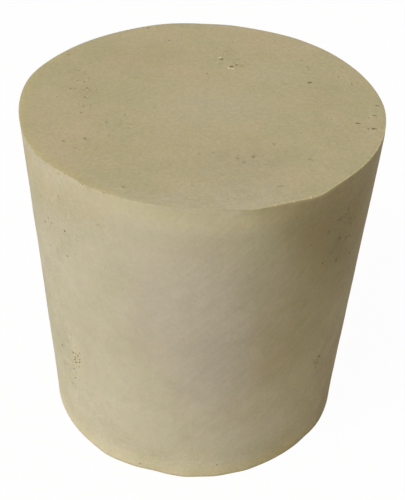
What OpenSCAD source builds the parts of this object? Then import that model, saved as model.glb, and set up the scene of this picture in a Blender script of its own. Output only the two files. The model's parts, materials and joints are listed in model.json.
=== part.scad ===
// Solid rubber laboratory stopper: one moulded, tapered plug with no hole through it.
// +Z runs from the narrow base up to the wide top. The origin is the centre of the base,
// and turns are counted anticlockwise from +X, seen from above.

/* [Plug] */
// Diameter across the wide top face
top_d = 27; // [20:0.5:40]
// Diameter across the narrow base
base_d = 23; // [16:0.5:32]
// Height from the base to the top face
plug_h = 27.2; // [10:0.1:50]
// Radius of the edge round the base
base_edge_r = 0.3; // [0.05:0.05:1.5]

/* [Trimmed lip] */
// Furthest that the moulding lip stood out past the rim before it was trimmed
lip_reach = 0.55; // [0.4:0.05:1]
// Direction in which the lip stood out furthest
lip_turn = -66; // [-180:1:180]
// How far the lip's own centre lies from the axis, where a larger value makes it narrower
lip_offset = 2.4; // [1.5:0.1:6]
// Depth of the lip below the top face
lip_h = 0.5; // [0.3:0.1:2]
// How far the lip's lower edge draws in from its upper edge
lip_undercut = 0.7; // [0.6:0.1:2]
// Direction that the first knife cut faces
first_cut_turn = -88; // [-180:1:180]
// Width of lip that the first cut leaves past the rim
first_cut_left = 0.05; // [0.05:0.05:0.4]
// Direction that the second knife cut faces
second_cut_turn = -67; // [-180:1:180]
// Width of lip that the second cut leaves past the rim
second_cut_left = 0.2; // [0.05:0.05:0.4]
// Direction that the third knife cut faces
third_cut_turn = -41; // [-180:1:180]
// Width of lip that the third cut leaves past the rim
third_cut_left = 0.05; // [0.05:0.05:0.4]

/* [Hidden] */

RUBBER = [0.74, 0.70, 0.56];

top_r = top_d / 2;
base_r = base_d / 2;
// Widening of the side for each unit of height
side_slope = (top_r - base_r) / plug_h;
// Angle by which the side leans out from upright
taper = atan(side_slope);
// Number of flats along the rounded base edge
edge_steps = 6;
// Height of the stock above the top face, which the flat top cut takes off
stock_h = 1;
// Radius of the lip about its own centre, at the top face
lip_r = top_r + lip_reach - lip_offset;
// Widening of the lip for each unit of height
lip_slope = lip_undercut / lip_h;

// Radius of the tapered side at height z
function side_r(z) = base_r + side_slope * z;

// Points of the rounded edge round the base, from the flat face to the tapered side
function base_edge() = [
    for (i = [0 : edge_steps])
        let (t = -90 + (90 - taper) * i / edge_steps)
        [
            side_r(base_edge_r) - base_edge_r / cos(taper) + base_edge_r * cos(t),
            base_edge_r + base_edge_r * sin(t)
        ]
];

// The tapered body with its stock, turned about the axis
module plug() {
    stock_top = plug_h + stock_h;
    rotate_extrude($fn = 180)
        polygon(concat([[0, 0]], base_edge(), [[side_r(stock_top), stock_top], [0, stock_top]]));
}

// All that lies behind a flat knife cut that faces turn and leaves a width past the rim
module behind_cut(turn, left) {
    reach = 2 * (top_d + plug_h);
    rotate([0, 0, turn])
        translate([top_r + left - reach, -reach / 2, -stock_h])
        cube([reach, reach, plug_h + 3 * stock_h]);
}

// The lip that the mould leaves at the rim, trimmed by three cuts that meet in blunt corners
module lip() {
    intersection() {
        rotate([0, 0, lip_turn])
            translate([lip_offset, 0, plug_h - lip_h])
            cylinder(
                h = lip_h + stock_h,
                r1 = lip_r - lip_undercut,
                r2 = lip_r + lip_slope * stock_h,
                $fn = 180
            );
        behind_cut(first_cut_turn, first_cut_left);
        behind_cut(second_cut_turn, second_cut_left);
        behind_cut(third_cut_turn, third_cut_left);
    }
}

// Everything above the top face
module above_top() {
    reach = 2 * (top_d + lip_reach + stock_h);
    translate([-reach / 2, -reach / 2, plug_h])
        cube([reach, reach, 2 * stock_h]);
}

module stopper() {
    color(RUBBER)
    difference() {
        union() {
            plug();
            lip();
        }
        above_top();
    }
}

stopper();
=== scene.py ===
"""A solid rubber laboratory stopper: a tapered plug, moulded in one piece, on a pale floor."""

import json
import math
import random
from collections import namedtuple

import bmesh
import bpy
from mathutils import Matrix, Vector

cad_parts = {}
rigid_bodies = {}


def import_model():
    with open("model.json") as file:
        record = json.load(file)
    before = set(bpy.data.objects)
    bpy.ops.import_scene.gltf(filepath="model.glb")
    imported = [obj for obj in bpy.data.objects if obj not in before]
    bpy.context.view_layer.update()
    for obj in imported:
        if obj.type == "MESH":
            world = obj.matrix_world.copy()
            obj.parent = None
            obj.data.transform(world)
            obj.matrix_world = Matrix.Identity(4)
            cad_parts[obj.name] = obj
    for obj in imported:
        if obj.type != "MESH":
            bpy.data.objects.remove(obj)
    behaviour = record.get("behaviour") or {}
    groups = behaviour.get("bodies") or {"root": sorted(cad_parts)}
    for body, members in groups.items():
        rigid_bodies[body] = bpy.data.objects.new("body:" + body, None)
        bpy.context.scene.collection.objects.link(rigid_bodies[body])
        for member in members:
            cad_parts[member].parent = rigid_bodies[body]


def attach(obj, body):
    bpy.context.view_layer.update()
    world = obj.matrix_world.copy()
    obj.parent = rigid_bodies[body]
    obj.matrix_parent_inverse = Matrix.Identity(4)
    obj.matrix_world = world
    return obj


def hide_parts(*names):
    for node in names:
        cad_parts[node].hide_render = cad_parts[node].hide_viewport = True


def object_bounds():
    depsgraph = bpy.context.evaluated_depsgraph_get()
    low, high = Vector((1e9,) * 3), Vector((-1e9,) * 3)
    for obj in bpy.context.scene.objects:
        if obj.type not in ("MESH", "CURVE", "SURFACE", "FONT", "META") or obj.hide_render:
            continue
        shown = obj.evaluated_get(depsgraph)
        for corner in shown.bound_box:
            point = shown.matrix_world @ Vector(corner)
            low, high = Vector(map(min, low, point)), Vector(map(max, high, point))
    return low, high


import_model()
cad_low, cad_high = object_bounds()

MM = 0.001
# Lengths that differ by less than this count as the same
SLACK = 0.001 * MM

# ---- Sizes: lengths in metres, and turns in degrees anticlockwise from +X, seen from above ----

# The base is 23 mm across where the top is 27 mm
HEIGHT = cad_high.z
TOP_R = cad_high.x
BASE_R = TOP_R * 23 / 27
SLOPE = (TOP_R - BASE_R) / HEIGHT

# Divisions of the plug: columns round it, rings up its foot, its side and its lip, and rings on
# each flat end, in a band of this width
FLATS = 360
FOOT_CUTS = 8
SIDE_CUTS = 76
LIP_CUTS = 3
END_CUTS = 5
END_BAND = 1.7 * MM

# Rounded edges: how far each is cut back, in how many steps, how far inside its circle an edge may
# run, and the angle from which an edge stays a crease
RIM_ROUND = 0.008 * MM
BASE_ROUND = 0.15 * MM
ROUND_STEPS = 3
EDGE_DIP = 0.15 * MM
CREASE = 35

# The moulding lip: an off-centre circle, which reaches this far past the rim
LIP_DEPTH = 0.5 * MM
LIP_TURN = -66
LIP_OFFSET = 4.4 * MM
LIP_REACH = 0.55 * MM
LIP_R = TOP_R + LIP_REACH - LIP_OFFSET
# The straight knife cuts that trim it: the turn that each faces, and how far past the rim it stays,
# or inside it as a minus
KNIFE_CUTS = (
    (-86, -0.05 * MM),
    (-67, 0.115 * MM),
    (-55, 0.35 * MM),
    (-41, 0.018 * MM),
)
# A cut trims the rim where the cosine of the turn away from it is above this
CUT_SIDE = 0.1
# How far the corners are blended between two cuts, and between the lip and the round rim
CUT_BLEND = 0.02 * MM
LIP_BLEND = 0.02 * MM

# Where the rim swells out or draws in: middle turn, spread and amount
RIM_SWELLS = (
    (165, 13, 0.17 * MM),
    (103, 9, 0.13 * MM),
    (89, 5, -0.06 * MM),
    (80, 8, 0.05 * MM),
    (59, 6, 0.04 * MM),
    (52, 20, 0.12 * MM),
    (-14, 12, -0.04 * MM),
    (-32, 14, -0.01 * MM),
    (-113, 7, -0.04 * MM),
    (-124, 2.5, 0.06 * MM),
    (-132, 5, -0.09 * MM),
    (-147, 5, 0.12 * MM),
    (-157, 6, 0.06 * MM),
)
# The same for the whole side, where it fades out at the rim, and for the base's edge alone
SIDE_SWELLS = (
    (-6, 20, 0.20 * MM),
    (-172, 12, 0.05 * MM),
    (40, 15, -0.08 * MM),
    (95, 12, 0.07 * MM),
    (140, 14, -0.06 * MM),
)
BASE_SWELLS = (
    (0, 360, 0.05 * MM),
    (-94, 32, 0.045 * MM),
    (-125, 6, 0.11 * MM),
    (-105, 6, -0.14 * MM),
    (-92, 3.5, 0.06 * MM),
    (-80, 4, 0.05 * MM),
    (-50, 16, -0.07 * MM),
    (-67, 3.5, 0.04 * MM),
    (-36, 3, -0.04 * MM),
    (-25, 6, 0.05 * MM),
    (60, 5, -0.07 * MM),
    (112, 4, 0.08 * MM),
)
# The swells of the base's edge fade out at this height
FOOT_BAND = 2.4 * MM
# Slow unevenness of the moulded skin: none below the first of these heights, all above the second
SKIN_WAVE = 0.07 * MM
SKIN_WAVE_SIZE = 5 * MM
STILL_FOOT = 0.2 * MM
LOOSE_SKIN = 0.8 * MM

# Open pits in the top: x, y, length and width in mm, and spin in degrees
TOP_PITS = (
    (1.35, 7.4, 0.32, 0.24, 25),
    (2.15, 6.25, 0.38, 0.28, -20),
    (2.5, 6.55, 0.30, 0.18, 15),
    (2.3, 6.85, 0.20, 0.13, -30),
    (8.15, 4.15, 0.42, 0.26, 15),
    (7.65, 7.75, 0.18, 0.14, 0),
    (11.35, 4.2, 0.22, 0.12, -60),
    (13.0, 0.95, 0.36, 0.21, -25),
    (12.7, -0.5, 0.32, 0.20, -30),
    (11.35, -1.7, 0.38, 0.20, 3),
    (12.45, -2.4, 0.42, 0.27, 5),
    (12.05, -2.45, 0.24, 0.14, 0),
    (-8.75, 2.0, 0.20, 0.15, -40),
    (-10.0, 1.85, 0.17, 0.13, 0),
    (-8.75, 3.55, 0.18, 0.12, -30),
    (-4.7, 12.3, 0.26, 0.15, 20),
    (-2.9, 10.3, 0.18, 0.14, 30),
)
# Shallow dents in the top, given in the same way
TOP_DENTS = (
    (2.95, 6.35, 0.30, 0.18, 0),
    (2.55, 7.5, 0.36, 0.20, 40),
    (1.7, 8.85, 0.40, 0.20, 20),
    (2.1, 9.2, 0.30, 0.16, 0),
    (1.85, 8.25, 0.36, 0.22, -20),
    (2.3, 10.5, 0.34, 0.26, 0),
    (0.4, 4.3, 0.26, 0.18, 60),
    (1.7, 6.3, 0.34, 0.16, 0),
    (4.4, 5.15, 0.24, 0.18, 0),
    (6.3, 3.9, 0.24, 0.20, 0),
    (5.9, 2.0, 0.22, 0.18, 0),
    (8.1, 6.7, 0.50, 0.26, 70),
    (8.2, 6.3, 0.30, 0.20, 20),
    (8.6, 9.2, 0.34, 0.18, 0),
    (11.9, 4.4, 0.24, 0.20, 0),
    (10.4, 5.2, 0.60, 0.16, 80),
    (10.1, 5.9, 0.44, 0.14, 0),
    (11.45, -0.65, 0.34, 0.14, 0),
    (9.5, -1.2, 0.28, 0.16, 0),
    (-8.7, 0.7, 0.44, 0.30, -45),
    (-9.6, 1.9, 0.40, 0.20, 0),
    (-8.2, -0.5, 0.30, 0.20, 20),
    (-5.65, -1.65, 0.26, 0.20, 0),
)
# Dents in the top that hold old dirt, given in the same way
TOP_SMUDGES = (
    (-6.8, -2.85, 0.52, 0.30, 0),
    (0.25, 4.95, 0.32, 0.24, 10),
    (-5.05, -11.1, 0.50, 0.34, 0),
    (-8.15, -5.2, 0.50, 0.38, -20),
    (-9.7, -5.6, 0.34, 0.32, 0),
    (-8.75, -6.45, 0.36, 0.24, 0),
    (-5.25, -3.0, 0.44, 0.22, -15),
    (-5.9, -3.1, 0.30, 0.16, 0),
    (-8.8, -1.6, 0.30, 0.24, 0),
    (-10.7, 7.25, 0.46, 0.36, -20),
    (-9.1, 4.25, 0.30, 0.22, 0),
    (-9.9, 4.8, 0.40, 0.18, -50),
    (-9.6, 4.65, 0.24, 0.18, 0),
    (-9.55, 3.05, 0.26, 0.20, 0),
    (-9.0, 2.95, 0.22, 0.26, 0),
    (-8.75, -0.65, 0.34, 0.22, 0),
    (3.7, -6.65, 0.54, 0.32, 75),
    (2.55, -7.0, 0.34, 0.26, 0),
    (3.0, -7.5, 0.34, 0.22, 20),
    (5.15, -5.0, 0.34, 0.26, 0),
    (5.4, -10.3, 0.60, 0.20, 12),
    (-0.1, -6.65, 0.40, 0.22, 0),
    (7.6, -6.8, 0.30, 0.26, 0),
)
# Burrs of rubber that stand up beside the largest pits, given in the same way
TOP_BURRS = (
    (1.26, 7.62, 0.34, 0.18, -45),
    (1.88, 6.0, 0.34, 0.20, -35),
    (2.3, 5.9, 0.34, 0.18, 10),
    (8.2, 3.95, 0.26, 0.10, 5),
    (13.05, 0.72, 0.26, 0.10, -25),
    (12.5, -2.65, 0.34, 0.10, 3),
    (-8.65, 1.68, 0.28, 0.12, -30),
)
# Groups of smaller pits in the top: middle x and y, spread, how many, and the largest length and
# width, in mm
TOP_GROUPS = (
    (2.2, 7.2, 0.9, 10, 0.15, 0.10),
    (2.0, 8.9, 0.6, 5, 0.15, 0.10),
    (8.1, 6.2, 1.2, 6, 0.15, 0.10),
    (11.0, 4.6, 0.6, 4, 0.14, 0.10),
    (11.8, -1.4, 0.9, 8, 0.15, 0.09),
    (-2.2, 11.2, 0.9, 5, 0.15, 0.11),
    (-9.2, 2.2, 1.1, 12, 0.13, 0.09),
    (-9.0, -5.0, 1.0, 5, 0.15, 0.11),
    (-6.0, -3.0, 0.9, 4, 0.15, 0.10),
    (3.3, -6.6, 0.8, 8, 0.18, 0.12),
)
# Open pits in the side: turn, height, length and width in mm, and spin in degrees
SIDE_PITS = (
    (-140.15, 9.38, 0.32, 0.18, 11),
    (-139.2, 9.03, 0.29, 0.16, 41),
    (-139.4, 8.76, 0.32, 0.16, 37),
    (-139.15, 8.48, 0.28, 0.16, 42),
    (-135.9, 9.95, 0.23, 0.13, 38),
    (-137.15, 9.46, 0.29, 0.17, 24),
    (-136.2, 9.22, 0.23, 0.14, 39),
    (-136.5, 8.9, 0.31, 0.15, 37),
    (-138.5, 9.52, 0.20, 0.11, 39),
    (-138.0, 8.65, 0.17, 0.10, 39),
    (-136.9, 8.4, 0.17, 0.10, 39),
    (-141.0, 7.5, 0.27, 0.13, 36),
    (-140.5, 6.6, 0.32, 0.13, 33),
    (-143.7, 5.5, 0.18, 0.10, 45),
    (-148.8, 8.8, 0.28, 0.15, 63),
    (-37.3, 9.6, 0.27, 0.17, -47),
    (-136.0, 21.9, 0.19, 0.15, 0),
    (-143.5, 21.6, 0.24, 0.14, -30),
    (-148.7, 21.0, 0.22, 0.15, 0),
    (-145.5, 21.8, 0.18, 0.12, -45),
    (-136.2, 19.6, 0.22, 0.14, -20),
    (-110.1, 0.6, 0.17, 0.12, 0),
    (-79.5, 1.4, 0.14, 0.11, 60),
)
# Shallow dents in the side, given in the same way
SIDE_DENTS = (
    (-141.7, 8.3, 0.22, 0.16, 0),
    (-140.2, 10.8, 0.22, 0.16, 0),
    (-149.6, 7.0, 0.26, 0.16, 0),
    (-138.4, 6.7, 0.24, 0.18, 30),
    (-137.1, 24.7, 0.46, 0.36, -40),
    (-134.7, 20.1, 0.24, 0.18, 0),
    (-149.6, 16.3, 0.28, 0.20, 90),
    (-147.5, 13.5, 0.26, 0.18, 90),
    (-148.2, 12.4, 0.26, 0.18, 80),
    (-120.9, 24.2, 0.36, 0.16, 5),
    (-60.5, 25.6, 0.20, 0.14, 0),
    (-38.0, 24.1, 0.40, 0.26, 30),
    (-27.0, 15.6, 0.34, 0.22, 90),
    (-27.0, 17.0, 0.30, 0.20, 70),
    (-123.2, 0.8, 0.20, 0.14, 0),
    (-105.0, 1.4, 0.18, 0.14, 0),
    (-92.6, 2.6, 0.16, 0.12, 0),
    (-86.1, 1.5, 0.16, 0.12, 0),
)
# Dents in the side that hold old dirt, given in the same way
SIDE_SMUDGES = (
    (-38.1, 8.5, 0.36, 0.22, -38),
    (-39.8, 9.35, 0.44, 0.15, -81),
    (-37.4, 8.85, 0.42, 0.15, -84),
    (-39.15, 19.6, 0.40, 0.26, -42),
    (-43.6, 20.8, 0.36, 0.20, -63),
    (-46.5, 23.0, 0.42, 0.17, -88),
    (-39.9, 21.7, 0.54, 0.24, -36),
    (-35.6, 21.2, 0.46, 0.20, 20),
    (-41.8, 23.6, 0.60, 0.18, -5),
    (-39.0, 23.75, 0.40, 0.18, -36),
    (-35.3, 22.95, 0.56, 0.17, -33),
    (-32.2, 22.55, 0.34, 0.17, -40),
    (-34.6, 22.4, 0.80, 0.14, -33),
    (-138.0, 10.2, 0.30, 0.14, 35),
    (-135.9, 26.9, 0.28, 0.15, 36),
    (-143.0, 10.2, 0.36, 0.16, 36),
    (-147.9, 7.0, 0.56, 0.28, 4),
    (-149.7, 5.1, 0.38, 0.14, 36),
)
# Burrs of rubber beside the side's pits, given in the same way
SIDE_BURRS = (
    (-137.9, 9.15, 0.24, 0.12, 49),
    (-136.7, 9.75, 0.22, 0.12, 24),
    (-137.8, 8.15, 0.30, 0.14, 62),
    (-145.6, 7.4, 0.32, 0.19, 17),
    (-148.1, 8.8, 0.22, 0.12, 63),
    (-33.0, 20.95, 0.36, 0.17, -29),
)
# Groups of smaller pits in the side: middle turn and height, spread, how many, and the largest
# length and width, in mm
SIDE_GROUPS = (
    (-146, 21.3, 1.4, 16, 0.15, 0.10),
    (-136, 20.7, 1.3, 8, 0.14, 0.11),
    (-138, 9.0, 0.6, 10, 0.12, 0.09),
    (-146, 8.6, 0.9, 12, 0.14, 0.10),
    (-140, 7.2, 0.6, 6, 0.13, 0.10),
    (-148, 13.5, 2.5, 12, 0.13, 0.10),
    (-45, 22.4, 1.5, 14, 0.16, 0.11),
    (-38, 21.0, 1.2, 7, 0.16, 0.11),
    (-37, 9.0, 0.8, 5, 0.14, 0.11),
    (-86, 2.2, 0.9, 6, 0.12, 0.09),
    (-108, 1.2, 0.8, 5, 0.12, 0.09),
    (25, 18.0, 3.0, 18, 0.24, 0.14),
    (80, 9.0, 2.6, 20, 0.22, 0.13),
    (120, 20.0, 2.6, 20, 0.24, 0.14),
    (160, 12.0, 2.6, 16, 0.20, 0.12),
)
# Fine pits scattered all over: how many, and the largest length and width in mm
TOP_SPECKS = (60, 0.11, 0.08)
SIDE_SPECKS = (110, 0.12, 0.08)
# Where those lie: out to this share of the top's radius, and between these shares of the height
SPECK_REACH = 0.97
SPECK_LEVELS = (0.03, 0.96)
# The turns that those of the side keep off, where the mould left it smooth: a middle, and how far
# each way
SMOOTH_TURN = -95
SMOOTH_HALF = 38
# How far the groups' marks keep from the rim on the top, and from the base and the rim on the side
TOP_CLEAR = 0.3 * MM
BASE_CLEAR = 0.5 * MM
RIM_CLEAR = 0.8 * MM
# The least size of the smaller marks, as a share of the largest
LEAST_SHARE = 0.5
# How many of the smaller pits are only dents, and how much wider those are
DENT_SHARE = 0.6
DENT_SPREAD = 1.6
# Two marks stay apart that lie further off than their lengths and widths, summed, over this
APART = 3.6
# Bites out of the rim: turn, distance past the rim's circle, depth below the top, and width, in mm
RIM_NICKS = (
    (-59.4, 0.32, 0.07, 0.16),
    (-64.5, 0.22, 0.07, 0.14),
    (-70.0, 0.24, 0.07, 0.14),
    (-49.0, 0.26, 0.06, 0.14),
    (-135.0, 0.08, 0.05, 0.24),
    (-143.0, 0.22, 0.05, 0.14),
    (-121.0, 0.12, 0.04, 0.16),
    (-152.0, 0.24, 0.06, 0.14),
    (118.0, 0.04, 0.06, 0.18),
)
# Crumbs of rubber left on the trimmed rim, given in the same way
RIM_CRUMBS = (
    (-57.3, 0.25, 0.02, 0.18),
    (-62.6, 0.13, 0.02, 0.14),
    (-68.2, 0.09, 0.02, 0.14),
)
# How much wider a bite or a crumb is across the rim than along it
RIM_MARK_STRETCH = 1.3
# Small bites all along the torn stretch of the rim: its first and last turn, how many, and their
# least and largest width in mm, with how far past the rim's edge and how far down they lie
TORN_RIM = (-166, -112, 18, 0.09, 0.14)
TORN_OUT = 0.04
TORN_DOWN = 0.04
# Depth over width, from least to most, of pits, dents and burrs
PIT_DEPTH = (0.45, 0.75)
DENT_DEPTH = (0.20, 0.30)
BURR_DEPTH = (0.35, 0.45)
# How far a dent's cutter is lifted, over its depth
DENT_LIFT = 0.45
# How rough the walls of pits, dents and burrs are
MARK_ROUGH = 0.006 * MM
# The seeds of the marks' places and of their walls
MARKS_SEED = 7
ROUGH_SEED = 3
# Points this little below the top's edge count as level with it
EDGE_LEVEL = 0.03 * MM

# Colours of the rubber
KHAKI = (0.508, 0.424, 0.255, 1)
OLIVE = (0.492, 0.428, 0.245, 1)
# This grey paints bloom, and also the sheen of the lit side
BLOOM_AND_SHEEN = (0.535, 0.484, 0.352, 1)
PALE = (0.600, 0.540, 0.400, 1)
CHALK = (0.700, 0.610, 0.445, 1)
MILK = (0.600, 0.548, 0.430, 1)
MOSS = (0.440, 0.405, 0.255, 1)
SLATE = (0.400, 0.350, 0.260, 1)
UMBER = (0.360, 0.320, 0.190, 1)
ASH = (0.470, 0.405, 0.315, 1)
MAUVE = (0.520, 0.450, 0.350, 1)
GOLD = (0.530, 0.450, 0.225, 1)
# This straw paints yellowed rubber, and also the highlight along the trimmed rim
STRAW = (0.620, 0.540, 0.275, 1)
TAN = (0.470, 0.350, 0.185, 1)
# This brown paints grime, and also the warm shade of the dark flank and a contact shadow at the
# foot
GRIME_AND_SHADE = (0.360, 0.280, 0.135, 1)
SOOT = (0.250, 0.200, 0.105, 1)
AMBER = (0.360, 0.270, 0.080, 1)
# This dark brown soils the marks, and also paints the shade inside pits
DIRT_AND_SHADE = (0.110, 0.080, 0.035, 1)

# Soft stains, and painted highlights, on the top: middle x and y, half length along x and along y
# in mm, colour and strength
TOP_STAINS_AND_HIGHLIGHTS = (
    (-5.2, 7.3, 6.0, 4.0, GRIME_AND_SHADE, 0.17),
    (-9.4, 2.6, 2.2, 4.2, GRIME_AND_SHADE, 0.10),
    (-8.8, 1.3, 1.0, 1.6, SOOT, 0.10),
    (-7.0, -6.5, 4.5, 1.6, GRIME_AND_SHADE, 0.08),
    (-2.8, -11.2, 2.2, 1.4, GRIME_AND_SHADE, 0.12),
    (3.6, -6.4, 3.4, 2.6, SOOT, 0.10),
    (5.6, 5.2, 3.4, 3.2, PALE, 0.16),
    (2.6, 6.6, 1.0, 1.2, GOLD, 0.15),
    (8.9, 1.8, 2.4, 4.0, GRIME_AND_SHADE, 0.12),
    (0.5, 0.0, 7.0, 5.0, BLOOM_AND_SHEEN, 0.30),
    # These two chalk rows paint highlights on the burrs beside the largest pits
    (1.22, 7.62, 0.28, 0.16, CHALK, 0.80),
    (2.1, 5.9, 0.46, 0.16, CHALK, 0.80),
    (2.75, 6.4, 0.7, 0.45, GRIME_AND_SHADE, 0.25),
    (1.9, 8.6, 0.8, 0.7, GRIME_AND_SHADE, 0.15),
    (1.5, -11.6, 6.0, 3.2, PALE, 0.06),
    (3.0, -8.3, 7.0, 4.5, SLATE, 0.22),
    (9.4, -3.5, 3.0, 4.0, GRIME_AND_SHADE, 0.06),
)
# The same on the side, with painted light and shade among them: turn, height, half width round the
# side and half height in mm, colour and strength
SIDE_STAINS_AND_PAINTED_LIGHT = (
    # The mauve and ash rows paint part of the lit front's grey sheen
    (-92, 17.0, 7.0, 9.0, MAUVE, 0.60),
    (-84, 12.0, 4.5, 6.5, ASH, 0.65),
    # The moss rows at -165 to -168 paint the darker, greener shade along the left outline
    (-165, 8.0, 7.0, 9.0, MOSS, 0.50),
    (-167, 20.0, 5.5, 8.0, MOSS, 0.42),
    # Most umber, tan, grime, soot and amber rows from -70 round to -14 paint the warm brown shade
    # of the dark flank, with its grime
    (-65, 19.5, 4.0, 4.5, UMBER, 0.30),
    (-50, 26.8, 8.0, 1.7, TAN, 0.60),
    (-76, 12.0, 4.5, 7.0, SLATE, 0.25),
    (-108, 23.0, 9.0, 4.0, MILK, 0.35),
    # The chalk, pale and straw rows just under the front rim, from -108 to -66, paint the light a
    # rounded rim would catch
    (-88, 26.4, 4.6, 1.9, CHALK, 0.50),
    (-108, 26.2, 4.0, 1.6, PALE, 0.40),
    (-60, 14.0, 4.6, 8.0, TAN, 0.28),
    (-68, 9.0, 4.5, 6.0, TAN, 0.22),
    (-42, 6.0, 4.0, 7.0, OLIVE, 0.60),
    (-98, 27.0, 9.0, 3.6, PALE, 0.65),
    (-66, 26.5, 3.4, 3.6, PALE, 0.20),
    (-84, 26.5, 14.0, 1.8, STRAW, 0.36),
    (-96, 18.6, 5.0, 4.6, MILK, 0.28),
    (-101, 5.0, 2.4, 3.0, MILK, 0.16),
    (-90, 10.0, 2.6, 2.6, SLATE, 0.26),
    (-70, 10.2, 2.2, 2.2, SLATE, 0.20),
    # more painted shade along the left outline
    (-168, 24.0, 3.0, 3.5, MOSS, 0.25),
    (-167, 2.5, 3.0, 3.5, MOSS, 0.25),
    (-54, 0.6, 3.6, 1.6, GRIME_AND_SHADE, 0.22),
    # The grime, soot and amber rows at -14 to -18 paint the brown shade of the dark side by its
    # outline
    (-18, 6.0, 7.0, 12.0, GRIME_AND_SHADE, 0.85),
    (-14, 1.5, 5.0, 4.5, GRIME_AND_SHADE, 0.80),
    (-17, 11.5, 2.6, 3.0, GRIME_AND_SHADE, 0.35),
    (-45, 17.0, 8.0, 9.0, GRIME_AND_SHADE, 0.36),
    (-142, 26.5, 9.0, 2.5, MILK, 0.40),
    (-138, 9.2, 1.1, 2.4, STRAW, 0.30),
    (-120, 24.2, 0.7, 0.4, GRIME_AND_SHADE, 0.10),
    (-38.4, 9.1, 0.5, 1.1, TAN, 0.80),
    (-14, 2.0, 4.5, 4.5, SOOT, 0.35),
    (-14, 8.5, 3.5, 5.5, SOOT, 0.20),
    (-39, 9.4, 1.4, 1.6, SOOT, 0.18),
    (-14, 2.5, 4.5, 5.5, AMBER, 0.35),
    (-14, 9.8, 3.0, 3.2, AMBER, 0.25),
    (-54, 4.2, 4.4, 2.4, PALE, 0.32),
    # painted light just under the rim, lifting a dark line left by the rim's shading
    (-80.5, 27.0, 1.4, 0.8, PALE, 0.28),
    (-86, 2.4, 3.6, 1.6, GOLD, 0.30),
    (60, 12.0, 6.0, 5.0, GRIME_AND_SHADE, 0.25),
    (110, 19.0, 5.0, 4.0, ASH, 0.35),
    (150, 8.0, 4.0, 5.0, TAN, 0.20),
)
# Stains that lie over the flank's grime and painted shade, given in the same way
FLANK_STAINS = (
    (-40, 21.5, 0.9, 0.9, SOOT, 0.30),
    (-35.6, 21.2, 0.6, 0.7, SOOT, 0.25),
    (-43.6, 20.8, 0.5, 0.6, SOOT, 0.20),
    (-46.5, 23.0, 0.4, 0.6, SOOT, 0.22),
    (-41.8, 23.6, 0.8, 0.35, SOOT, 0.20),
    (-35.5, 23.2, 2.4, 1.1, SOOT, 0.22),
    (-32, 24.3, 1.2, 0.9, SOOT, 0.22),
    (-40, 20.6, 1.6, 1.8, SOOT, 0.12),
    (-30, 22.4, 2.0, 2.2, SOOT, 0.14),
    (-30, 22.8, 2.0, 2.0, AMBER, 0.30),
    (-20, 24.8, 2.0, 1.4, AMBER, 0.40),
    (-39.15, 19.6, 0.4, 0.4, SOOT, 0.25),
    (-39, 18.6, 1.6, 0.9, OLIVE, 0.14),
)
# The soft edge of the flank's grime and painted shade: its turn at the rim, how far it turns for
# each mm down, how far each way it fades, how ragged it is, and the turns between which it sets in
FLANK_TURN = -82
FLANK_LEAN = 4.3
FLANK_FADE = 12
FLANK_RAGGED = 0.25
FLANK_START = (-80, -55)
# The smooth oval of the side: its middle turn and height, half its width as a turn, half its
# height, and the shares of those between which it fades, between which it lightens towards its
# border, and between which the skin outside darkens towards it
OVAL_TURN = -88
OVAL_HEIGHT = 14 * MM
OVAL_WIDE = 56
OVAL_HIGH = 11.6 * MM
OVAL_EDGE = (1.03, 0.97)
OVAL_INSIDE = (0.75, 1)
OVAL_OUTSIDE = (1.4, 1)

# Patches of the finish that face one way: a middle turn, how far from it they end, and how far
# from it they are full
CALM_FACE = (-92, 42, 20)
STROKE_FACE = (-58, 50, 25)
BLOOM_AND_SHEEN_FACE = (-115, 68, 38)
LAP_FACE = (-92, 40, 10)
FLANK_FACE = (-28, 75, 50)
GOLD_RIM_FACE = (-165, 66, 34)
RIM_HIGHLIGHT_FACE = (-40, 44, 26)
GOLD_LIP_FACE = (-40, 44, 30)
GOLD_FOOT_FACE = (-38, 75, 30)
RIM_SHADE_FACE = (-102, 20, 10)
# Heights over which a layer of the finish goes from nothing to full
TOP_LEVELS = (HEIGHT - 0.25 * MM, HEIGHT - 0.1 * MM)
LIP_LEVELS = (HEIGHT - 0.3 * MM, HEIGHT - 0.1 * MM)
RIM_SHADE_LEVELS = (HEIGHT - 1.6 * MM, HEIGHT - 0.2 * MM)
FLANK_LEVELS = (HEIGHT, HEIGHT - 3 * MM)
BLOOM_AND_SHEEN_LEVELS = (HEIGHT * 1.05, HEIGHT * 0.7)
CALM_LEVELS = (HEIGHT * 0.6, HEIGHT * 0.7)
HIGH_SHADE_LEVELS = (0, HEIGHT * 0.8)
MOTTLE_LEVELS = (3 * MM, 8 * MM)
FOOT_LIGHT_LEVELS = (2.4 * MM, 0.9 * MM)
GOLD_FOOT_LEVELS = (2.0 * MM, 0.3 * MM)
# the painted contact shadow along the base's edge fades out between these heights
FOOT_SHADOW_LEVELS = (0.35 * MM, 0.1 * MM)
# The same as distances in from the top's edge, or below it as a minus
TOP_INSETS = (-0.03 * MM, 0)
GOLD_RIM_INSETS = (1 * MM, 0.3 * MM)
# The next two bound the painted highlight along the trimmed rim's edge
RIM_HIGHLIGHT_INSETS = (0.16 * MM, 0.06 * MM)
RIM_HIGHLIGHT_LIP_INSETS = (-0.1 * MM, 0)
GOLD_LIP_INSETS = (0.02 * MM, -0.08 * MM)
# The same as a distance out from the axis
LAP_REACHES = (TOP_R * 0.7, TOP_R * 0.98)
# A patch fades from its full size in to this share of it
PATCH_EDGE = (1, 0.1)
# How ragged the yellow rim's inner edge is
RAGGED_RIM = 0.35 * MM

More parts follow.
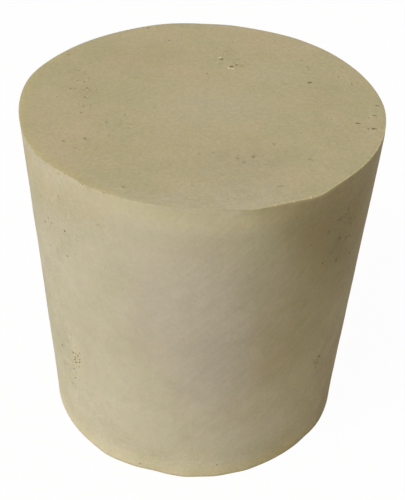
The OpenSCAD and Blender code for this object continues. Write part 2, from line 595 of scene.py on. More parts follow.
# Noises of the finish: the size of their features, and then detail, roughness and twist
DRIFT = (7 * MM, 3, 0.55)
CLOUD = (2.4 * MM, 4, 0.6, 0.4)
MOTTLE = (1.1 * MM, 3, 0.6)
PEEL = (0.9 * MM, 2, 0.5)
FLECK = (0.8 * MM, 3, 0.6)
TINT = (0.5 * MM, 2, 0.6)
STROKE = (0.5 * MM,)
LEATHER = (0.42 * MM, 2, 0.5, 0.6)
GRAIN = (0.34 * MM, 3, 0.7)
SPECK = (0.3 * MM, 1)
FINE_GRAIN = (0.2 * MM, 2, 0.6)
DUST = (0.13 * MM, 2, 0.6)
# The values of its noise between which a layer goes from nothing to full
KHAKI_RANGE = (-0.45, 0.45)
MOTTLE_RANGE = (-0.1, 0.5)
SPECK_RANGE = (0.38, 0.62)
# How uneven a layer is: its shares of the drift and of the cloud
RAGGED = (0.35, 0.25)
UNEVEN_FILM = (0.6, 0.4)
UNEVEN_GOLD = (0.8, 0.6)
UNEVEN_TONE = (0.07, 0.07)

# How strong each layer is at its fullest: the flank's grime and painted shade thicken by their
# second amount below the rim, and the foot's yellow deepens by its second amount in its own patch
# the front's film is partly painted sheen of the lit side
FRONT_BLOOM_AND_SHEEN = 0.8
LAP_BLOOM = 0.35
# the flank's layer is partly painted warm shade of that dark side
FLANK_GRIME_AND_SHADE = (0.5, 0.4)
CLOUDY_GRIME_AND_SHADE = 0.4
GOLD_RIM = 0.5
GOLD_FOOT = (0.17, 0.45)
# the straw line along the trimmed rim is a painted highlight
PAINTED_RIM_HIGHLIGHT = 0.6
GOLD_LIP = 0.6
# the darkened edge of the foot is a painted contact shadow
PAINTED_FOOT_SHADOW = 0.5
MOTTLED = 0.2
# How much lighter each of these makes the rubber, or darker as a minus
# The first three paint light and shade on the side: lighter than the top, darker higher up, lighter
# at the foot
SIDE_PAINTED_LIGHT = 0.07
HIGH_PAINTED_SHADE = -0.08
FOOT_PAINTED_LIGHT = 0.10
BORDER_TONE = 0.015
# this one paints shade in a strip under the front rim
RIM_PAINTED_SHADE = -0.035
FLECK_TONE = 0.06
GRAIN_TONE = 0.17
DUST_TONE = 0.16
SPECK_TONE = -0.10
STROKE_TONE = 0.08
# How much the tint changes red, green and blue
TINTING = (0.018, -0.014, -0.055)
# How much less grain the smooth oval has, and how far its strokes are drawn out
SMOOTHING = 0.5
STROKE_DRAW = 0.1
# How far the grain stands up, and how rough and how shiny the rubber is
GRAIN_HEIGHT = 0.01 * MM
RUBBER_ROUGH = 0.66
RUBBER_SHINE = 0.2
# How dark the lining of each kind of mark is: soiled, and in the pits painted shade as well
DENT_DIRT = 0.15
SMUDGE_DIRT = 0.26
PIT_DIRT_AND_SHADE = 0.50


# ---- Modelling ----


def near(value, target):
    return abs(value - target) < SLACK


def pick(piece, kind, test):
    """In edit mode, selects just the points, edges or faces of that kind that pass the test."""
    form = bmesh.from_edit_mesh(piece.data)
    bpy.ops.mesh.select_mode(type=kind)
    bpy.ops.mesh.select_all(action="DESELECT")
    for part in {"VERT": form.verts, "EDGE": form.edges, "FACE": form.faces}[kind]:
        if test(part):
            part.select_set(True)
    form.select_flush_mode()


def rises(low, high):
    """A test for edges that run from one height up to another."""

    def test(edge):
        foot, head = sorted(end.co.z for end in edge.verts)
        return near(foot, low) and near(head, high)

    return test


def rings(height, inner, outer):
    """A test for level edges at that height that lie between two distances from the axis."""

    def test(edge):
        return all(
            near(end.co.z, height) and inner < end.co.xy.length < outer for end in edge.verts
        )

    return test


def turned(turn, middle):
    """How far a turn is from a middle, the short way round."""
    return (turn - middle + 180) % 360 - 180


def swell(turn, swells):
    """Sum of the soft swells at that turn."""
    total = 0
    for middle, spread, amount in swells:
        total += amount * math.exp(-((turned(turn, middle) / spread) ** 2))
    return total


def larger(one, other, corner):
    """The larger of two lengths, with a rounded corner where they cross."""
    return (one + other + math.hypot(one - other, corner)) / 2


def rim_radius(turn):
    """Distance of the top's edge from the axis: the round rim, or the trimmed lip beyond it."""
    swing = math.radians(turn - LIP_TURN)
    lip = LIP_OFFSET * math.cos(swing) + math.sqrt(LIP_R**2 - (LIP_OFFSET * math.sin(swing)) ** 2)
    for cut_turn, left in KNIFE_CUTS:
        lean = math.cos(math.radians(turn - cut_turn))
        if lean > CUT_SIDE:
            lip = -larger(-lip, -(TOP_R + left) / lean, CUT_BLEND)
    return larger(lip, TOP_R + swell(turn, RIM_SWELLS), LIP_BLEND)


def base_radius(turn):
    """Distance of the base's edge from the axis as the side runs down to it."""
    return BASE_R + swell(turn, SIDE_SWELLS)


def foot_radius(turn):
    """The same, with the unevenness that only the edge itself has."""
    return base_radius(turn) + swell(turn, BASE_SWELLS)


def turn_of(point):
    return math.degrees(math.atan2(point.y, point.x))


def draw_ring(piece, height, widest, radius_at):
    """Draws each point at that height, and nearer than widest, to its own radius from the axis."""
    pick(piece, "VERT", lambda point: False)
    for point in bmesh.from_edit_mesh(piece.data).verts:
        if near(point.co.z, height) and point.co.xy.length < widest:
            factor = radius_at(turn_of(point.co)) / point.co.xy.length
            point.select_set(True)
            bpy.ops.transform.resize(value=(factor, factor, 1), center_override=(0, 0, 0))
            point.select_set(False)


def close_end(piece, height, radius):
    """Turns a flat end into a band of rings round a square grid."""
    grid_r = radius - END_BAND

    def at_opening(edge):
        return edge.is_boundary and near(edge.verts[0].co.z, height)

    def crosses_band(edge):
        inner, outer = sorted(end.co.xy.length for end in edge.verts)
        return near(edge.verts[0].co.z, height) and outer - inner > END_BAND / 2

    pick(piece, "FACE", lambda face: len(face.verts) == FLATS and near(face.verts[0].co.z, height))
    bpy.ops.mesh.delete(type="ONLY_FACE")
    pick(piece, "EDGE", at_opening)
    bpy.ops.mesh.extrude_edges_move()
    shrink = grid_r / radius
    bpy.ops.transform.resize(value=(shrink, shrink, 1), center_override=(0, 0, 0))
    draw_ring(piece, height, radius - END_BAND / 2, lambda turn: grid_r)
    pick(piece, "EDGE", at_opening)
    bpy.ops.mesh.fill_grid(span=FLATS // 4, use_interp_simple=True)
    pick(piece, "EDGE", crosses_band)
    bpy.ops.mesh.subdivide(number_cuts=END_CUTS)


def make_plug():
    """The plug with its trimmed lip, finely divided and closed, before any wear."""
    bpy.ops.object.select_all(action="DESELECT")
    bpy.ops.mesh.primitive_cone_add(
        vertices=FLATS,
        radius1=BASE_R,
        radius2=TOP_R,
        depth=HEIGHT,
        end_fill_type="NGON",
        location=(0, 0, HEIGHT / 2),
    )
    plug = bpy.context.object
    plug.name = "moulded_plug"
    bpy.ops.object.transform_apply(location=True, rotation=True, scale=True)
    bpy.ops.object.mode_set(mode="EDIT")

    # the side's swells, a ring where the foot ends and one where the lip begins, and both outlines
    draw_ring(plug, 0, 2 * TOP_R, base_radius)
    lip_foot = HEIGHT - LIP_DEPTH
    for height in (FOOT_BAND, lip_foot):
        bpy.ops.mesh.select_all(action="SELECT")
        bpy.ops.mesh.bisect(plane_co=(0, 0, height), plane_no=(0, 0, 1), threshold=SLACK)
    draw_ring(plug, HEIGHT, 2 * TOP_R, rim_radius)
    draw_ring(plug, 0, 2 * TOP_R, foot_radius)
    close_end(plug, HEIGHT, TOP_R)
    close_end(plug, 0, BASE_R)

    # rings up the side and the lip, then the edges rounded over
    pick(plug, "EDGE", rises(0, FOOT_BAND))
    bpy.ops.mesh.subdivide(number_cuts=FOOT_CUTS)
    pick(plug, "EDGE", rises(FOOT_BAND, lip_foot))
    bpy.ops.mesh.subdivide(number_cuts=SIDE_CUTS)
    pick(plug, "EDGE", rises(lip_foot, HEIGHT))
    bpy.ops.mesh.subdivide(number_cuts=LIP_CUTS)
    pick(plug, "EDGE", rings(HEIGHT, TOP_R - EDGE_DIP, 2 * TOP_R))
    bpy.ops.mesh.bevel(offset=RIM_ROUND, segments=ROUND_STEPS, affect="EDGES")
    pick(plug, "EDGE", rings(0, BASE_R - EDGE_DIP, 2 * TOP_R))
    bpy.ops.mesh.bevel(offset=BASE_ROUND, segments=ROUND_STEPS, affect="EDGES")
    bpy.ops.object.mode_set(mode="OBJECT")
    wave_skin(plug)
    return plug


def apply_modifier(piece, modifier):
    """Applies that modifier, with just its piece selected."""
    bpy.ops.object.select_all(action="DESELECT")
    piece.select_set(True)
    bpy.context.view_layer.objects.active = piece
    bpy.ops.object.modifier_apply(modifier=modifier.name)


def wave_skin(plug):
    """Lets the skin rise and fall slowly, everywhere but at the foot that it stands on."""
    loose = plug.vertex_groups.new(name="skin")
    for point in plug.data.vertices:
        lift = min(max((point.co.z - STILL_FOOT) / (LOOSE_SKIN - STILL_FOOT), 0), 1)
        loose.add([point.index], lift, "REPLACE")
    waves = bpy.data.textures.new("skin_waves", "CLOUDS")
    waves.noise_scale = SKIN_WAVE_SIZE
    waves.noise_depth = 1
    rise = plug.modifiers.new("skin", "DISPLACE")
    rise.texture = waves
    rise.texture_coords = "LOCAL"
    rise.vertex_group = loose.name
    rise.mid_level = 0.5
    rise.strength = SKIN_WAVE
    apply_modifier(plug, rise)
    plug.vertex_groups.clear()


# A mark on the skin: where it is, the way it faces, how far it is spun, and its length and width
Mark = namedtuple("Mark", "place outward spin length width")


def top_spot(plug, x, y):
    """Place of a spot on the top's skin, and the way it faces."""
    return plug.closest_point_on_mesh((x, y, HEIGHT))[1], Vector((0, 0, 1))


def side_spot(plug, turn, height):
    """Place of a spot on the side's skin, and the way it faces."""
    angle = math.radians(turn)
    radius = BASE_R + SLOPE * height
    out = Vector((math.cos(angle), math.sin(angle), 0))
    place = out * radius + Vector((0, 0, height))
    return plug.closest_point_on_mesh(place)[1], Vector((out.x, out.y, -SLOPE)).normalized()


def rim_spot(turn, out, depth):
    """Place of a spot that far past the rim's circle and below the top, and the way it faces."""
    angle = math.radians(turn)
    away = Vector((math.cos(angle), math.sin(angle), 0))
    place = away * (TOP_R + out) + Vector((0, 0, HEIGHT - depth))
    return place, (away + Vector((0, 0, 1))).normalized()


def mark(spot, length, width, spin):
    """A mark at a spot, from its sizes in mm and its spin in degrees."""
    return Mark(*spot, math.radians(spin), length * MM, width * MM)


def top_marks(plug, rows):
    return [mark(top_spot(plug, x * MM, y * MM), *shape) for x, y, *shape in rows]


def side_marks(plug, rows):
    return [mark(side_spot(plug, turn, height * MM), *shape) for turn, height, *shape in rows]


def rim_marks(rows):
    return [
        mark(rim_spot(turn, out * MM, depth * MM), width, RIM_MARK_STRETCH * width, 0)
        for turn, out, depth, width in rows
    ]


def scattered_marks(plug, rng):
    """The smaller marks, in their groups and all over: a list of pits and a list of dents."""
    pits, dents = [], []

    def add(spot, longest, widest):
        share = LEAST_SHARE + (1 - LEAST_SHARE) * rng.random() ** 2
        spin = rng.uniform(0, 180)
        length, width = longest * share, widest * share
        if rng.random() < DENT_SHARE:
            dents.append(mark(spot, length * DENT_SPREAD, width * DENT_SPREAD, spin))
        else:
            pits.append(mark(spot, length, width, spin))

    for x, y, spread, count, longest, widest in TOP_GROUPS:
        for _ in range(count):
            spot = top_spot(plug, rng.gauss(x, spread) * MM, rng.gauss(y, spread) * MM)
            if spot[0].xy.length < TOP_R - TOP_CLEAR:
                add(spot, longest, widest)
    for turn, height, spread, count, longest, widest in SIDE_GROUPS:
        for _ in range(count):
            level = rng.gauss(height, spread) * MM
            swing = math.degrees(rng.gauss(0, spread) * MM / BASE_R)
            if BASE_CLEAR < level < HEIGHT - RIM_CLEAR:
                add(side_spot(plug, turn + swing, level), longest, widest)
    count, longest, widest = TOP_SPECKS
    for _ in range(count):
        reach = TOP_R * SPECK_REACH * math.sqrt(rng.random())
        angle = rng.uniform(0, math.tau)
        add(top_spot(plug, reach * math.cos(angle), reach * math.sin(angle)), longest, widest)
    count, longest, widest = SIDE_SPECKS
    while count:
        turn = rng.uniform(-180, 180)
        level = rng.uniform(*SPECK_LEVELS) * HEIGHT
        if abs(turned(turn, SMOOTH_TURN)) > SMOOTH_HALF:
            add(side_spot(plug, turn, level), longest, widest)
            count -= 1
    return pits, dents


def apart(marks):
    """Leaves out each mark that would run into one before it."""
    kept = []

    def clears(new, old):
        spread = new.length + new.width + old.length + old.width
        return (new.place - old.place).length > spread / APART

    for new in marks:
        if all(clears(new, old) for old in kept):
            kept.append(new)
    return kept


def torn_marks(rng):
    """Small bites, each on the rim's own edge, all along its torn stretch."""
    first, last, count, least, most = TORN_RIM
    rows = []
    for number in range(count):
        turn = first + (last - first) * (number + rng.random()) / count
        out = (rim_radius(turn) - TOP_R) / MM + TORN_OUT
        rows.append((turn, out, TORN_DOWN, rng.uniform(least, most)))
    return rim_marks(rows)


def work_skin(plug, marks, lining, rng, depth, lift=0, operation="DIFFERENCE"):
    """Cuts a rough hollow at each mark, or adds a rough lump there, lined with that material."""
    bpy.ops.object.select_all(action="DESELECT")
    tools = None
    for place, outward, spin, length, width in marks:
        aim = outward.to_track_quat("Z", "Y") @ Matrix.Rotation(spin, 3, "Z").to_quaternion()
        deep = width * rng.uniform(*depth)
        bpy.ops.mesh.primitive_ico_sphere_add(
            subdivisions=2,
            radius=1,
            location=place + outward * deep * lift,
            rotation=aim.to_euler(),
            scale=(length / 2, width / 2, deep),
        )
        # the first is made an object, and the rest are then added to its mesh
        if tools is None:
            tools = bpy.context.object
            tools.name = "tools"
            tools.data.materials.append(lining)
            bpy.ops.object.transform_apply(location=True, rotation=True, scale=True)
            bpy.ops.object.mode_set(mode="EDIT")
    bpy.ops.mesh.select_all(action="SELECT")
    bpy.ops.transform.vertex_random(offset=MARK_ROUGH, uniform=1, seed=ROUGH_SEED)
    bpy.ops.object.mode_set(mode="OBJECT")
    work = plug.modifiers.new("marks", "BOOLEAN")
    work.operation = operation
    work.solver = "MANIFOLD"
    work.material_mode = "TRANSFER"
    work.object = tools
    apply_modifier(plug, work)
    bpy.data.objects.remove(tools)


def drop_shells(plug):
    """Takes out each closed shell that a mark wholly inside the rubber left there."""
    bpy.ops.object.mode_set(mode="EDIT")
    pick(plug, "VERT", lambda point: near(point.co.z, 0))
    bpy.ops.mesh.select_linked()
    bpy.ops.mesh.select_all(action="INVERT")
    bpy.ops.mesh.delete(type="VERT")
    bpy.ops.object.mode_set(mode="OBJECT")


def note_inset(plug):
    """Stores at each point of the lip how far in from the top's edge it lies, less how far down."""
    inset = plug.data.attributes.new("inset", "FLOAT", "POINT")
    for point, note in zip(plug.data.vertices, inset.data):
        if point.co.z > HEIGHT - LIP_DEPTH:
            inward = rim_radius(turn_of(point.co)) - point.co.xy.length
            note.value = max(inward, 0) - max(HEIGHT - point.co.z - EDGE_LEVEL, 0)


def smooth_plug(plug):
    """Shades the plug smooth up to its creases, with its broad faces kept true."""
    bpy.ops.object.shade_smooth_by_angle(angle=math.radians(CREASE))
    even = plug.modifiers.new("even", "WEIGHTED_NORMAL")
    even.mode = "FACE_AREA"
    even.weight = 50
    even.keep_sharp = True
    apply_modifier(plug, even)


# ---- Materials ----


class Wire:
    """A shader socket: sums on it add Math nodes, and node() adds any other kind of node."""

    def __init__(self, tree, socket=None):
        self.tree = tree
        self.socket = socket

    def node(self, kind, settings=None, inputs=None, output=0):
        """Adds a node, its settings first and then its values and links, and gives one output."""
        made = self.tree.nodes.new(kind)
        for name, value in (settings or {}).items():
            setattr(made, name, value)
        for name, value in (inputs or {}).items():
            if isinstance(value, Wire):
                self.tree.links.new(value.socket, made.inputs[name])
            else:
                made.inputs[name].default_value = value
        return Wire(self.tree, made.outputs[output])

    def math(self, operation, *values):
        return self.node("ShaderNodeMath", {"operation": operation}, dict(enumerate(values)))

    def vector(self, operation, inputs, output="Vector"):
        return self.node("ShaderNodeVectorMath", {"operation": operation}, inputs, output)

    def __add__(self, other):
        return self.math("ADD", self, other)

    def __sub__(self, other):
        return self.math("SUBTRACT", self, other)

    def __rsub__(self, other):
        return self.math("SUBTRACT", other, self)

    def __mul__(self, other):
        return self.math("MULTIPLY", self, other)

    def __truediv__(self, other):
        return self.math("DIVIDE", self, other)

    __radd__ = __add__
    __rmul__ = __mul__


def ramp_up(value, low, high):
    """0 below low, 1 above high, and smooth between; low may be the larger."""
    return value.node(
        "ShaderNodeMapRange",
        {"interpolation_type": "SMOOTHSTEP"},
        {"Value": value, "From Min": low, "From Max": high},
    )


def noise(place, size, detail=2.0, roughness=0.5, twist=0.0):
    """Noise from about -1 to 1, with features of that size."""
    inputs = {
        "Vector": place,
        "Scale": 1 / size,
        "Detail": detail,
        "Roughness": roughness,
        "Distortion": twist,
    }
    return place.node("ShaderNodeTexNoise", {}, inputs) * 2 - 1


def blend(mask, colour, other):
    """Mixes a second colour over the first, by a mask or by the same amount all over."""
    wire = mask if isinstance(mask, Wire) else colour
    inputs = {0: mask, 6: colour, 7: other}
    return wire.node("ShaderNodeMix", {"data_type": "RGBA"}, inputs, output=2)


def span(across, along):
    """Length of the vector with those two parts."""
    square = across * across + along * along
    return square.math("SQRT", square)


class Ground:
    """What the finish reads at each point: where it lies, and the slow changes of its tone."""

    def __init__(self, place):
        axes = place.node("ShaderNodeSeparateXYZ", {}, {0: place}).socket.node.outputs
        self.place = place
        self.x, self.y, self.level = (Wire(place.tree, axis) for axis in axes)
        self.reach = span(self.x, self.y)
        self.turn = self.y.math("ARCTAN2", self.y, self.x)
        self.girth = self.turn * TOP_R
        self.unrolled = self.vector(self.girth, self.level)
        self.inset = place.node("ShaderNodeAttribute", {"attribute_name": "inset"}, output="Fac")
        self.top = ramp_up(self.level, *TOP_LEVELS) * ramp_up(self.inset, *TOP_INSETS)
        self.side = 1 - self.top
        self.drift = noise(place, *DRIFT)
        self.cloud = noise(place, *CLOUD)
        self.ragged = self.uneven(*RAGGED)

    def vector(self, x, y, z=0.0):
        return self.place.node("ShaderNodeCombineXYZ", {}, {"X": x, "Y": y, "Z": z})

    def uneven(self, drift, cloud):
        """The slow changes of tone, in those amounts."""
        return self.drift * drift + self.cloud * cloud

    def facing(self, turn, wide, narrow):
        """A soft patch that faces that way: all of it within narrow degrees, none past wide."""
        angle = math.radians(turn)
        toward = (self.x * math.cos(angle) + self.y * math.sin(angle)) / self.reach
        return ramp_up(toward, math.cos(math.radians(wide)), math.cos(math.radians(narrow)))


def soft_patch(colour, plan, middle, size, other, strength, ragged):
    """Lays a soft oval patch of another colour on a surface that plan measures in metres."""
    scale = [1 / half for half in size]
    stretched = plan.vector("MULTIPLY", {0: plan, 1: (*scale, 0)})
    centre = (middle[0] * scale[0], middle[1] * scale[1], 0)
    away = stretched.vector("DISTANCE", {0: stretched, 1: centre}, output="Value")
    return blend(ramp_up(away + ragged, *PATCH_EDGE) * strength, colour, other)


def top_patches(colour, ground, rows):
    """Lays each row's soft patch on the top, stains and painted highlights alike."""
    for x, y, wide, high, other, strength in rows:
        spot, size = (x * MM, y * MM), (wide * MM, high * MM)
        colour = soft_patch(colour, ground.place, spot, size, other, strength, ground.ragged)
    return colour


def side_patches(colour, ground, rows):
    """Lays each row's soft patch on the side as if it were unrolled: stains, painted light and
    shade.
    """
    for turn, height, wide, high, other, strength in rows:
        spot, size = (math.radians(turn) * TOP_R, height * MM), (wide * MM, high * MM)
        colour = soft_patch(colour, ground.unrolled, spot, size, other, strength, ground.ragged)
    return colour


def bloomed_and_sheened(colour, ground):
    """Lays a thin grey film on the smooth front, partly painted sheen, and on the top's edge above
    it.
    """
    front = ground.facing(*BLOOM_AND_SHEEN_FACE) * ground.side * ramp_up(ground.level, *BLOOM_AND_SHEEN_LEVELS)
    lap = ramp_up(ground.reach, *LAP_REACHES) * ground.facing(*LAP_FACE) * ground.top
    # the front's film is partly painted sheen of the lit side
    film = (front * FRONT_BLOOM_AND_SHEEN + lap * LAP_BLOOM) * (1 + ground.uneven(*UNEVEN_FILM))
    return blend(film, colour, BLOOM_AND_SHEEN)


def grimed_and_shaded(colour, ground):
    """Lays the grime that hands left, and painted warm shade, on one flank, and the stains over it.
    """
    start = math.radians(FLANK_TURN) + (HEIGHT - ground.level) * math.radians(FLANK_LEAN) / MM
    fade = math.radians(FLANK_FADE)
    flank = ramp_up(ground.turn - start + ground.ragged * FLANK_RAGGED, -fade, fade)
    flank = flank * ground.facing(*FLANK_FACE) * ground.side
    flank = flank * ramp_up(ground.turn, *map(math.radians, FLANK_START))
    thin, thicker = FLANK_GRIME_AND_SHADE
    thick = thin + thicker * ramp_up(ground.level, *FLANK_LEVELS)
    # painted warm shade on the dark flank, laid together with its grime
    colour = blend(flank * (thick + ground.cloud * CLOUDY_GRIME_AND_SHADE), colour, GRIME_AND_SHADE)
    return blend(ground.side, colour, side_patches(colour, ground, FLANK_STAINS))


def aged_with_painted_light(colour, ground):
    """Yellows rim, lip and foot, and paints a highlight on the cut rim and a shadow on the base's
    edge.
    """
    lip = ramp_up(ground.level, *LIP_LEVELS)
    band = ramp_up(ground.inset + ground.ragged * RAGGED_RIM, *GOLD_RIM_INSETS)
    band = band * ground.facing(*GOLD_RIM_FACE) * ground.top
    pale, deeper = GOLD_FOOT
    foot = ramp_up(ground.level, *GOLD_FOOT_LEVELS)
    foot = foot * (pale + deeper * ground.facing(*GOLD_FOOT_FACE))
    # painted highlight: a thin pale line along the trimmed rim's edge, where it would catch the
    # light
    highlight_line = ramp_up(ground.inset, *RIM_HIGHLIGHT_INSETS) * ramp_up(ground.inset, *RIM_HIGHLIGHT_LIP_INSETS) * lip
    highlight_line = highlight_line * ground.facing(*RIM_HIGHLIGHT_FACE)
    under = ramp_up(ground.inset, *GOLD_LIP_INSETS) * ground.facing(*GOLD_LIP_FACE) * lip
    gold = (band * GOLD_RIM + foot) * (1 + ground.uneven(*UNEVEN_GOLD))
    colour = blend(gold, colour, GOLD)
    colour = blend(highlight_line * PAINTED_RIM_HIGHLIGHT, colour, STRAW)
    colour = blend(under * GOLD_LIP, colour, GOLD)
    # painted contact shadow along the base's own edge
    return blend(ramp_up(ground.level, *FOOT_SHADOW_LEVELS) * PAINTED_FOOT_SHADOW, colour, GRIME_AND_SHADE)


def textured(colour, ground):
    """Gives the smooth oval and the coarser skin round it their tones, with painted light and shade
    among them, specks and strokes.
    """
    place, level, side = ground.place, ground.level, ground.side
    beside = (ground.turn - math.radians(OVAL_TURN)) / math.radians(OVAL_WIDE)
    away = span(beside, (level - OVAL_HEIGHT) / OVAL_HIGH)
    calm = ground.facing(*CALM_FACE) * ramp_up(level, *CALM_LEVELS)
    oval = ramp_up(away, *OVAL_EDGE)
    smooth = oval.math("MAXIMUM", oval, calm) * side
    coarse = side - smooth
    mottle = coarse * ramp_up(noise(place, *MOTTLE), *MOTTLE_RANGE)
    colour = blend(mottle * ramp_up(level, *MOTTLE_LEVELS) * MOTTLED, colour, UMBER)

    # light and shade: slow, at the oval's border, and fine, with strokes that slant over the oval
    # painted light on the side: lighter than the top, darker higher up and lighter at the foot, as
    # the floor's light falls
    rise = SIDE_PAINTED_LIGHT + HIGH_PAINTED_SHADE * ramp_up(level, *HIGH_SHADE_LEVELS)
    rise = rise + FOOT_PAINTED_LIGHT * ramp_up(level, *FOOT_LIGHT_LEVELS)
    border = smooth * ramp_up(away, *OVAL_INSIDE) - coarse * ramp_up(away, *OVAL_OUTSIDE)
    # painted shade in a strip under the front rim, standing in for the shading of a rounded rim
    dull = ground.facing(*RIM_SHADE_FACE) * ramp_up(level, *RIM_SHADE_LEVELS) * side
    slow = rise * side + border * BORDER_TONE + dull * RIM_PAINTED_SHADE
    slow = slow + ground.uneven(*UNEVEN_TONE) + noise(place, *FLECK) * FLECK_TONE
    slant = ground.vector((ground.girth + level) * STROKE_DRAW, level - ground.girth)
    strokes = noise(slant, *STROKE) * smooth * ground.facing(*STROKE_FACE)
    specks = ramp_up(noise(place, *SPECK), *SPECK_RANGE) * coarse
    fine = noise(place, *GRAIN) * GRAIN_TONE + noise(place, *DUST) * DUST_TONE
    fine = fine * (1 - smooth * SMOOTHING) + specks * SPECK_TONE + strokes * STROKE_TONE
    colour = colour.vector("SCALE", {0: colour, "Scale": 1 + slow + fine})

    # warmer and cooler spots
    tint = noise(place, *TINT)
    warm = ground.vector(*(1 + tint * amount for amount in TINTING))
    return colour.vector("MULTIPLY", {0: colour, 1: warm})


def rubber_colour(ground):
    """Khaki rubber under a grey bloom, yellow at its edges, stained and grimy in patches, with
    painted light and shade.
    """
    colour = blend(ramp_up(ground.cloud + ground.drift, *KHAKI_RANGE), OLIVE, KHAKI)
    colour = bloomed_and_sheened(colour, ground)
    on_top = top_patches(colour, ground, TOP_STAINS_AND_HIGHLIGHTS)
    on_side = side_patches(colour, ground, SIDE_STAINS_AND_PAINTED_LIGHT)
    colour = blend(ground.top, on_side, on_top)
    colour = grimed_and_shaded(colour, ground)
    colour = aged_with_painted_light(colour, ground)
    return textured(colour, ground)


def finish_rubber(name, lining_dirt_and_shade=0):
    """Old natural rubber: dull, with a fine moulded grain, and dirty where it lines a mark; in pits
    that is also painted shade.
    """
    material = bpy.data.materials.new(name)
    material.use_nodes = True
    tree = material.node_tree
    place = Wire(tree).node("ShaderNodeTexCoord", output="Object")
    ground = Ground(place)
    colour = rubber_colour(ground)
    if lining_dirt_and_shade:
        # darkens a mark's lining: soiled, and in the pits painted shade as well
        colour = blend(lining_dirt_and_shade, colour, DIRT_AND_SHADE)
    grain = noise(place, *FINE_GRAIN)
    height = noise(place, *PEEL) * 0.8 + noise(place, *LEATHER) * 0.6 + grain * 0.3
    relief = place.node(
        "ShaderNodeBump", {}, {"Strength": 1.0, "Distance": GRAIN_HEIGHT, "Height": height}
    )
    rough = RUBBER_ROUGH + ground.cloud * 0.08 + grain * 0.06
    surface = tree.nodes["Principled BSDF"]
    surface.inputs["Specular IOR Level"].default_value = RUBBER_SHINE
    tree.links.new(colour.socket, surface.inputs["Base Color"])
    tree.links.new(rough.socket, surface.inputs["Roughness"])
    tree.links.new(relief.socket, surface.inputs["Normal"])
    return material


# ---- The stopper ----

plug = make_plug()
marks_rng = random.Random(MARKS_SEED)
skin = finish_rubber("khaki_rubber")
dented = finish_rubber("dent_rubber", DENT_DIRT)
smudged = finish_rubber("smudge_rubber", SMUDGE_DIRT)
pitted = finish_rubber("pit_rubber", PIT_DIRT_AND_SHADE)
plug.data.materials.append(skin)
pits, dents = scattered_marks(plug, marks_rng)
dents = apart(top_marks(plug, TOP_DENTS) + side_marks(plug, SIDE_DENTS) + dents)
smudges = top_marks(plug, TOP_SMUDGES) + side_marks(plug, SIDE_SMUDGES)
pits = apart(top_marks(plug, TOP_PITS) + side_marks(plug, SIDE_PITS) + pits)
lumps = top_marks(plug, TOP_BURRS) + side_marks(plug, SIDE_BURRS) + rim_marks(RIM_CRUMBS)
work_skin(plug, lumps, skin, marks_rng, BURR_DEPTH, operation="UNION")
nicks = apart(rim_marks(RIM_NICKS) + torn_marks(marks_rng))
work_skin(plug, nicks, skin, marks_rng, PIT_DEPTH)
work_skin(plug, dents, dented, marks_rng, DENT_DEPTH, DENT_LIFT)
work_skin(plug, smudges, smudged, marks_rng, DENT_DEPTH, DENT_LIFT)
work_skin(plug, pits, pitted, marks_rng, PIT_DEPTH)
drop_shells(plug)
note_inset(plug)
smooth_plug(plug)

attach(plug, "root")
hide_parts("stopper")


# ---- Stage ----

# The pale floor: its size, colour, roughness and shine, and how far it is lifted to plain white
# where it is seen
FLOOR_SIZE = 3
PAPER = (0.87, 0.845, 0.79, 1)
PAPER_ROUGH = 0.9
PAPER_SHINE = 0.1
PAPER_LIFT = 0.975

# The camera: how far off it stands, how steeply it looks down, its roll and turn, the height that
# it aims at, its lens and sensor in mm, and the nearest and furthest that it sees
CAMERA_AWAY = 99.3 * MM
CAMERA_DOWN = math.radians(36.58)
CAMERA_ROLL = math.radians(2.13)
CAMERA_TURN = math.radians(-0.217)
CAMERA_AIM = 13.94 * MM
LENS = 89.01
SENSOR = 36
NEAREST = 0.005
FURTHEST = 20

# Round soft lamps: name, turn, rise in degrees, distance, width across, watts and colour
SOFTBOXES = (
    ("window", -140, 45, 1.2, 0.84, 13.3, (0.98, 0.99, 1.0)),
    ("ceiling", 90, 86, 0.5, 0.4, 0.35, (1.0, 1.0, 1.0)),
)
# The room's own faint light
ROOM_COLOUR = (1.0, 0.88, 0.7, 1)
ROOM_STRENGTH = 0.09


def seen(tree):
    """1 where a thing is seen, straight, in a gloss or through glass; 0 for the light it gives."""
    straight = Wire(tree).node("ShaderNodeLightPath", output="Is Camera Ray")
    outputs = straight.socket.node.outputs
    glossy = Wire(tree, outputs["Is Glossy Ray"])
    through = Wire(tree, outputs["Is Transmission Ray"])
    return straight.math("MAXIMUM", straight.math("MAXIMUM", straight, glossy), through)


def mix_shaders(mask, usual, other, output):
    """Sends to an output node the usual shader, and the other one by the mask."""
    mixed = mask.node("ShaderNodeMixShader", {}, {0: mask, 1: usual, 2: other})
    mask.tree.links.new(mixed.socket, output.inputs["Surface"])


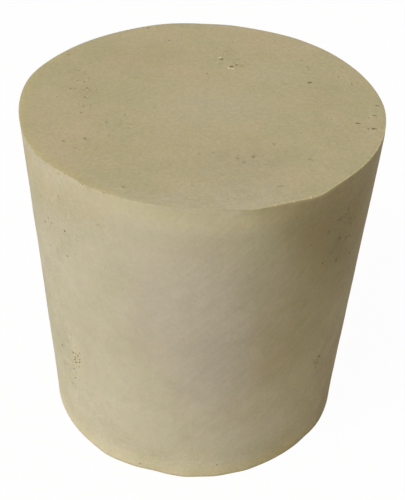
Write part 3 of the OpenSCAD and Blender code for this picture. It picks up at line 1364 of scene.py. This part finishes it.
def add_floor():
    """A pale paper floor, which looks almost plain white where it is seen."""
    bpy.ops.mesh.primitive_plane_add(size=FLOOR_SIZE, location=(0, 0, 0))
    floor = bpy.context.object
    floor.name = "floor"
    paper = bpy.data.materials.new("paper")
    paper.use_nodes = True
    tree = paper.node_tree
    card = tree.nodes["Principled BSDF"]
    card.inputs["Base Color"].default_value = PAPER
    card.inputs["Roughness"].default_value = PAPER_ROUGH
    card.inputs["Specular IOR Level"].default_value = PAPER_SHINE
    usual = Wire(tree, card.outputs[0])
    white = Wire(tree).node("ShaderNodeEmission", {}, {"Strength": 1.0})
    mix_shaders(seen(tree) * PAPER_LIFT, usual, white, tree.nodes["Material Output"])
    floor.data.materials.append(paper)


def add_room():
    """A faint warm light from all round, which looks plain white where it is seen."""
    room = bpy.data.worlds.new("room")
    bpy.context.scene.world = room
    room.use_nodes = True
    tree = room.node_tree
    soft = tree.nodes["Background"]
    soft.inputs["Color"].default_value = ROOM_COLOUR
    soft.inputs["Strength"].default_value = ROOM_STRENGTH
    usual = Wire(tree, soft.outputs[0])
    white = Wire(tree).node("ShaderNodeBackground", {}, {"Color": (1, 1, 1, 1), "Strength": 1.0})
    mix_shaders(seen(tree), usual, white, tree.nodes["World Output"])


def add_camera():
    """The camera, in front of the plug and looking down on it."""
    data = bpy.data.cameras.new("camera")
    data.lens = LENS
    data.sensor_width = SENSOR
    data.clip_start = NEAREST
    data.clip_end = FURTHEST
    camera = bpy.data.objects.new("camera", data)
    bpy.context.scene.collection.objects.link(camera)
    back = Vector((0, -math.cos(CAMERA_DOWN), math.sin(CAMERA_DOWN)))
    camera.matrix_world = (
        Matrix.Translation(Vector((0, 0, CAMERA_AIM)) + back * CAMERA_AWAY)
        @ Matrix.Rotation(math.radians(90) - CAMERA_DOWN, 4, "X")
        @ Matrix.Rotation(CAMERA_TURN, 4, "Y")
        @ Matrix.Rotation(CAMERA_ROLL, 4, "Z")
    )
    bpy.context.scene.camera = camera


def add_softbox(name, turn, rise, away, size, watts, colour):
    """A round lamp that faces the foot of the plug."""
    data = bpy.data.lights.new(name, "AREA")
    data.shape = "DISK"
    data.size = size
    data.energy = watts
    data.color = colour
    lamp = bpy.data.objects.new(name, data)
    bpy.context.scene.collection.objects.link(lamp)
    swing, lean = math.radians(turn), math.radians(rise)
    level = Vector((math.cos(swing), math.sin(swing), 0)) * math.cos(lean)
    lamp.location = (level + Vector((0, 0, math.sin(lean)))) * away
    lamp.rotation_mode = "QUATERNION"
    lamp.rotation_quaternion = lamp.location.to_track_quat("Z", "Y")


add_floor()
add_room()
add_camera()
for softbox in SOFTBOXES:
    add_softbox(*softbox)
bpy.context.scene.view_settings.view_transform = "Standard"
